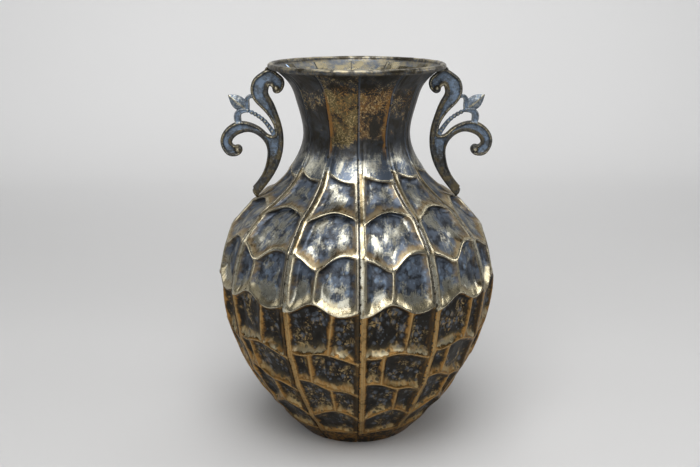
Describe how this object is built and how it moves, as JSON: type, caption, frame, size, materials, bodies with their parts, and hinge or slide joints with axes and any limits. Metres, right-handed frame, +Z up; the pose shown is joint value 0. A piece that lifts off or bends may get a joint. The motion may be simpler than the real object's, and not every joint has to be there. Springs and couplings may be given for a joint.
{
  "type": "urn vase",
  "caption": "Tall metal urn vase of stamped, lapped sheet gores with a dished pattern, flared mouth, rod rim, flat base and two cast scroll handles at the neck.",
  "frame": {"origin": "centre of the base on the surface that the vase stands on", "axes": "+Z up along the body's axis, -Y towards the front seam, handles on +X and -X"},
  "size_m": [0.38, 0.38, 0.51],
  "materials": {
    "antique_gold_sheet": "satin",
    "rim_rod": "satin",
    "base_sheet": "matte",
    "cast_scroll": "satin",
    "weld_metal": "matte"
  },
  "bodies": {
    "root": {"gore_panel_01": "antique_gold_sheet", "gore_panel_02": "antique_gold_sheet", "gore_panel_03": "antique_gold_sheet", "gore_panel_04": "antique_gold_sheet", "gore_panel_05": "antique_gold_sheet", "gore_panel_06": "antique_gold_sheet", "gore_panel_07": "antique_gold_sheet", "gore_panel_08": "antique_gold_sheet", "gore_panel_09": "antique_gold_sheet", "gore_panel_10": "antique_gold_sheet", "gore_panel_11": "antique_gold_sheet", "gore_panel_12": "antique_gold_sheet", "rim_ring": "rim_rod", "base_plate": "base_sheet", "left_handle": "cast_scroll", "right_handle": "cast_scroll", "handle_top_welds": "weld_metal", "handle_foot_welds": "weld_metal"}
  },
  "joints": []
}
